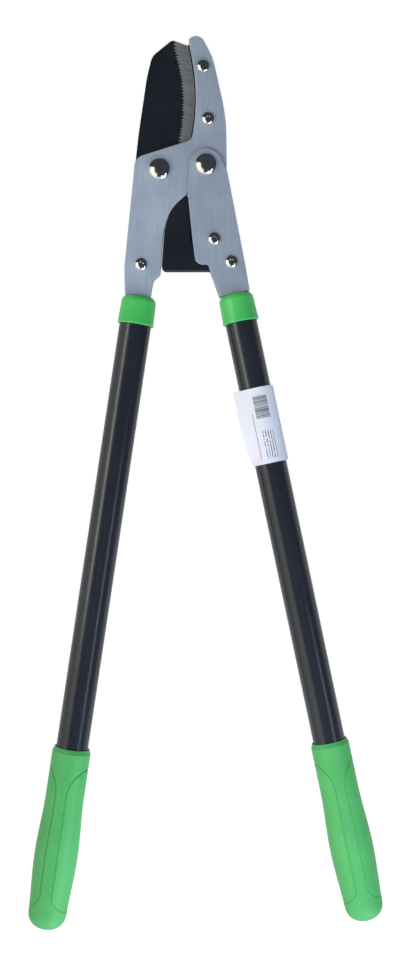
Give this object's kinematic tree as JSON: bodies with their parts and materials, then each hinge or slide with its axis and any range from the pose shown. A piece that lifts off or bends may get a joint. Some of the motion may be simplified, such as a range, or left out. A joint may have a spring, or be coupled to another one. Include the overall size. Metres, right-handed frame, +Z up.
{
  "type": "lopper",
  "caption": "Long-handled lopper with a hooked twin-plate jaw, a black slot-driven blade, round tubes and green grips.",
  "frame": {"origin": "on the axis of the main pivot, at the flat end of its bolt, which touches the ground as the lopper lies on its back", "axes": "+Y from the grips to the jaw, +X to the right seen from the front, +Z up, from the ground to the front face"},
  "size_m": [0.2843, 0.7157, 0.0348],
  "materials": {
    "plated_steel": "satin zinc plate",
    "black_coating": "satin black non-stick coating, ground bevel bare",
    "chrome": "polished",
    "plain_steel": "zinc plated",
    "bronze": "plain",
    "green_plastic": "soft touch",
    "black_paint": "satin black paint",
    "nylon": "as moulded",
    "paper": "matt, blank"
  },
  "bodies": {
    "frame": {"jaw_plate_front": "plated_steel", "jaw_plate_back": "plated_steel", "anvil": "black_coating", "anvil_screw_upper": "chrome", "anvil_screw_lower": "chrome", "anvil_nut_upper": "plain_steel", "anvil_nut_lower": "plain_steel", "main_pivot_bolt": "chrome", "main_pivot_washer": "plain_steel", "main_pivot_nut": "plain_steel", "main_pivot_spacer": "plain_steel", "blade_pivot_bolt": "chrome", "blade_pivot_washer": "plain_steel", "blade_pivot_nut": "plain_steel", "left_tongue": "plain_steel", "left_plug": "nylon", "left_tube": "black_paint", "left_tube_pin": "plain_steel", "left_collar": "green_plastic", "left_grip": "green_plastic", "left_handle_screw": "chrome", "left_handle_nut": "plain_steel"},
    "blade": {"blade": "black_coating", "blade_bush": "bronze", "drive_pin": "plain_steel"},
    "right_handle": {"handle_plate_front": "plated_steel", "handle_plate_back": "plated_steel", "drive_plate_front": "black_coating", "drive_plate_back": "black_coating", "drive_spacer": "plain_steel", "drive_screw": "chrome", "drive_nut": "plain_steel", "right_tongue": "plain_steel", "right_plug": "nylon", "right_tube": "black_paint", "right_tube_pin": "plain_steel", "right_collar": "green_plastic", "right_grip": "green_plastic", "right_handle_screw": "chrome", "right_handle_nut": "plain_steel", "paper_label": "paper"}
  },
  "joints": [
    {"name": "handle_hinge", "type": "hinge", "parent": "frame", "child": "right_handle", "pos_m": [0, 0, 0.0174], "axis": [0, 0, 1], "range_deg": [0, 52]},
    {"name": "blade_hinge", "type": "hinge", "parent": "frame", "child": "blade", "pos_m": [-0.0372, -0.0032, 0.0174], "axis": [0, 0, 1], "range_deg": [0, 36.4]}
  ],
  "couplings": [
    {"joint": "blade_hinge", "follows": "handle_hinge", "ratio": 0.7}
  ]
}
